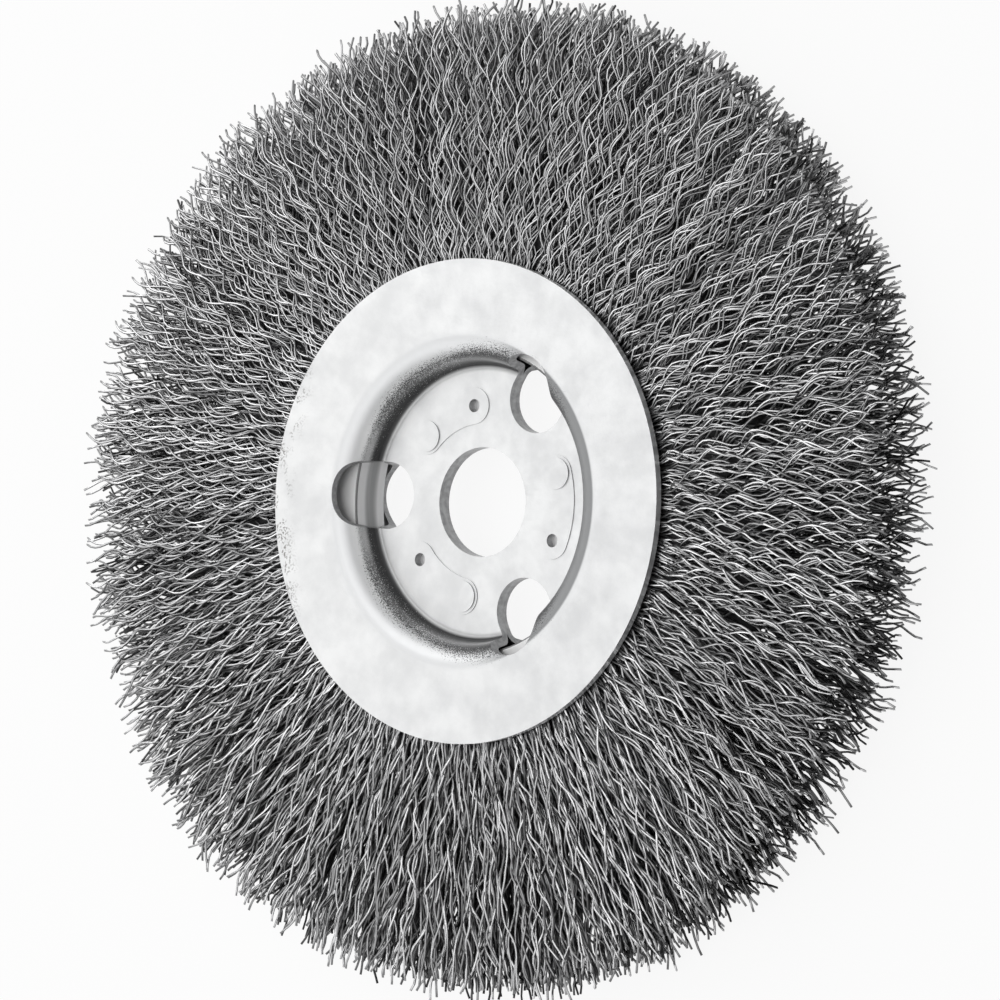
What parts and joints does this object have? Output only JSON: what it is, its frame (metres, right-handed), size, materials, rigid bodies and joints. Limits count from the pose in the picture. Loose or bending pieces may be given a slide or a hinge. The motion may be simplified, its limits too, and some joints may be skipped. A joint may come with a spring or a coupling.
{
  "type": "wire wheel brush",
  "caption": "Round crimped-wire wheel brush: dished steel plates clinched back to back grip a dense ring of wire round a plain bore, for cleaning and deburring.",
  "frame": {"origin": "on the bore's axis where the backs of the two plates meet, halfway across the brush face", "axes": "+Z along the bore's axis, out of the front plate; -X through the middle of one of the three plate holes; the brush lies flat on its rear face"},
  "size_m": [0.1268, 0.127, 0.012],
  "materials": {
    "plate_zinc": "zinc-coated sheet, pale and dull, with light handling marks",
    "channel_steel": "plain folded sheet, dull grey",
    "core_steel": "plain drawn wire",
    "brush_wire": "bright drawn wire, crimped"
  },
  "bodies": {
    "root": {"front_plate": "plate_zinc", "rear_plate": "plate_zinc", "wire_channel": "channel_steel", "core_ring": "core_steel", "wire_fill": "brush_wire"}
  },
  "joints": []
}
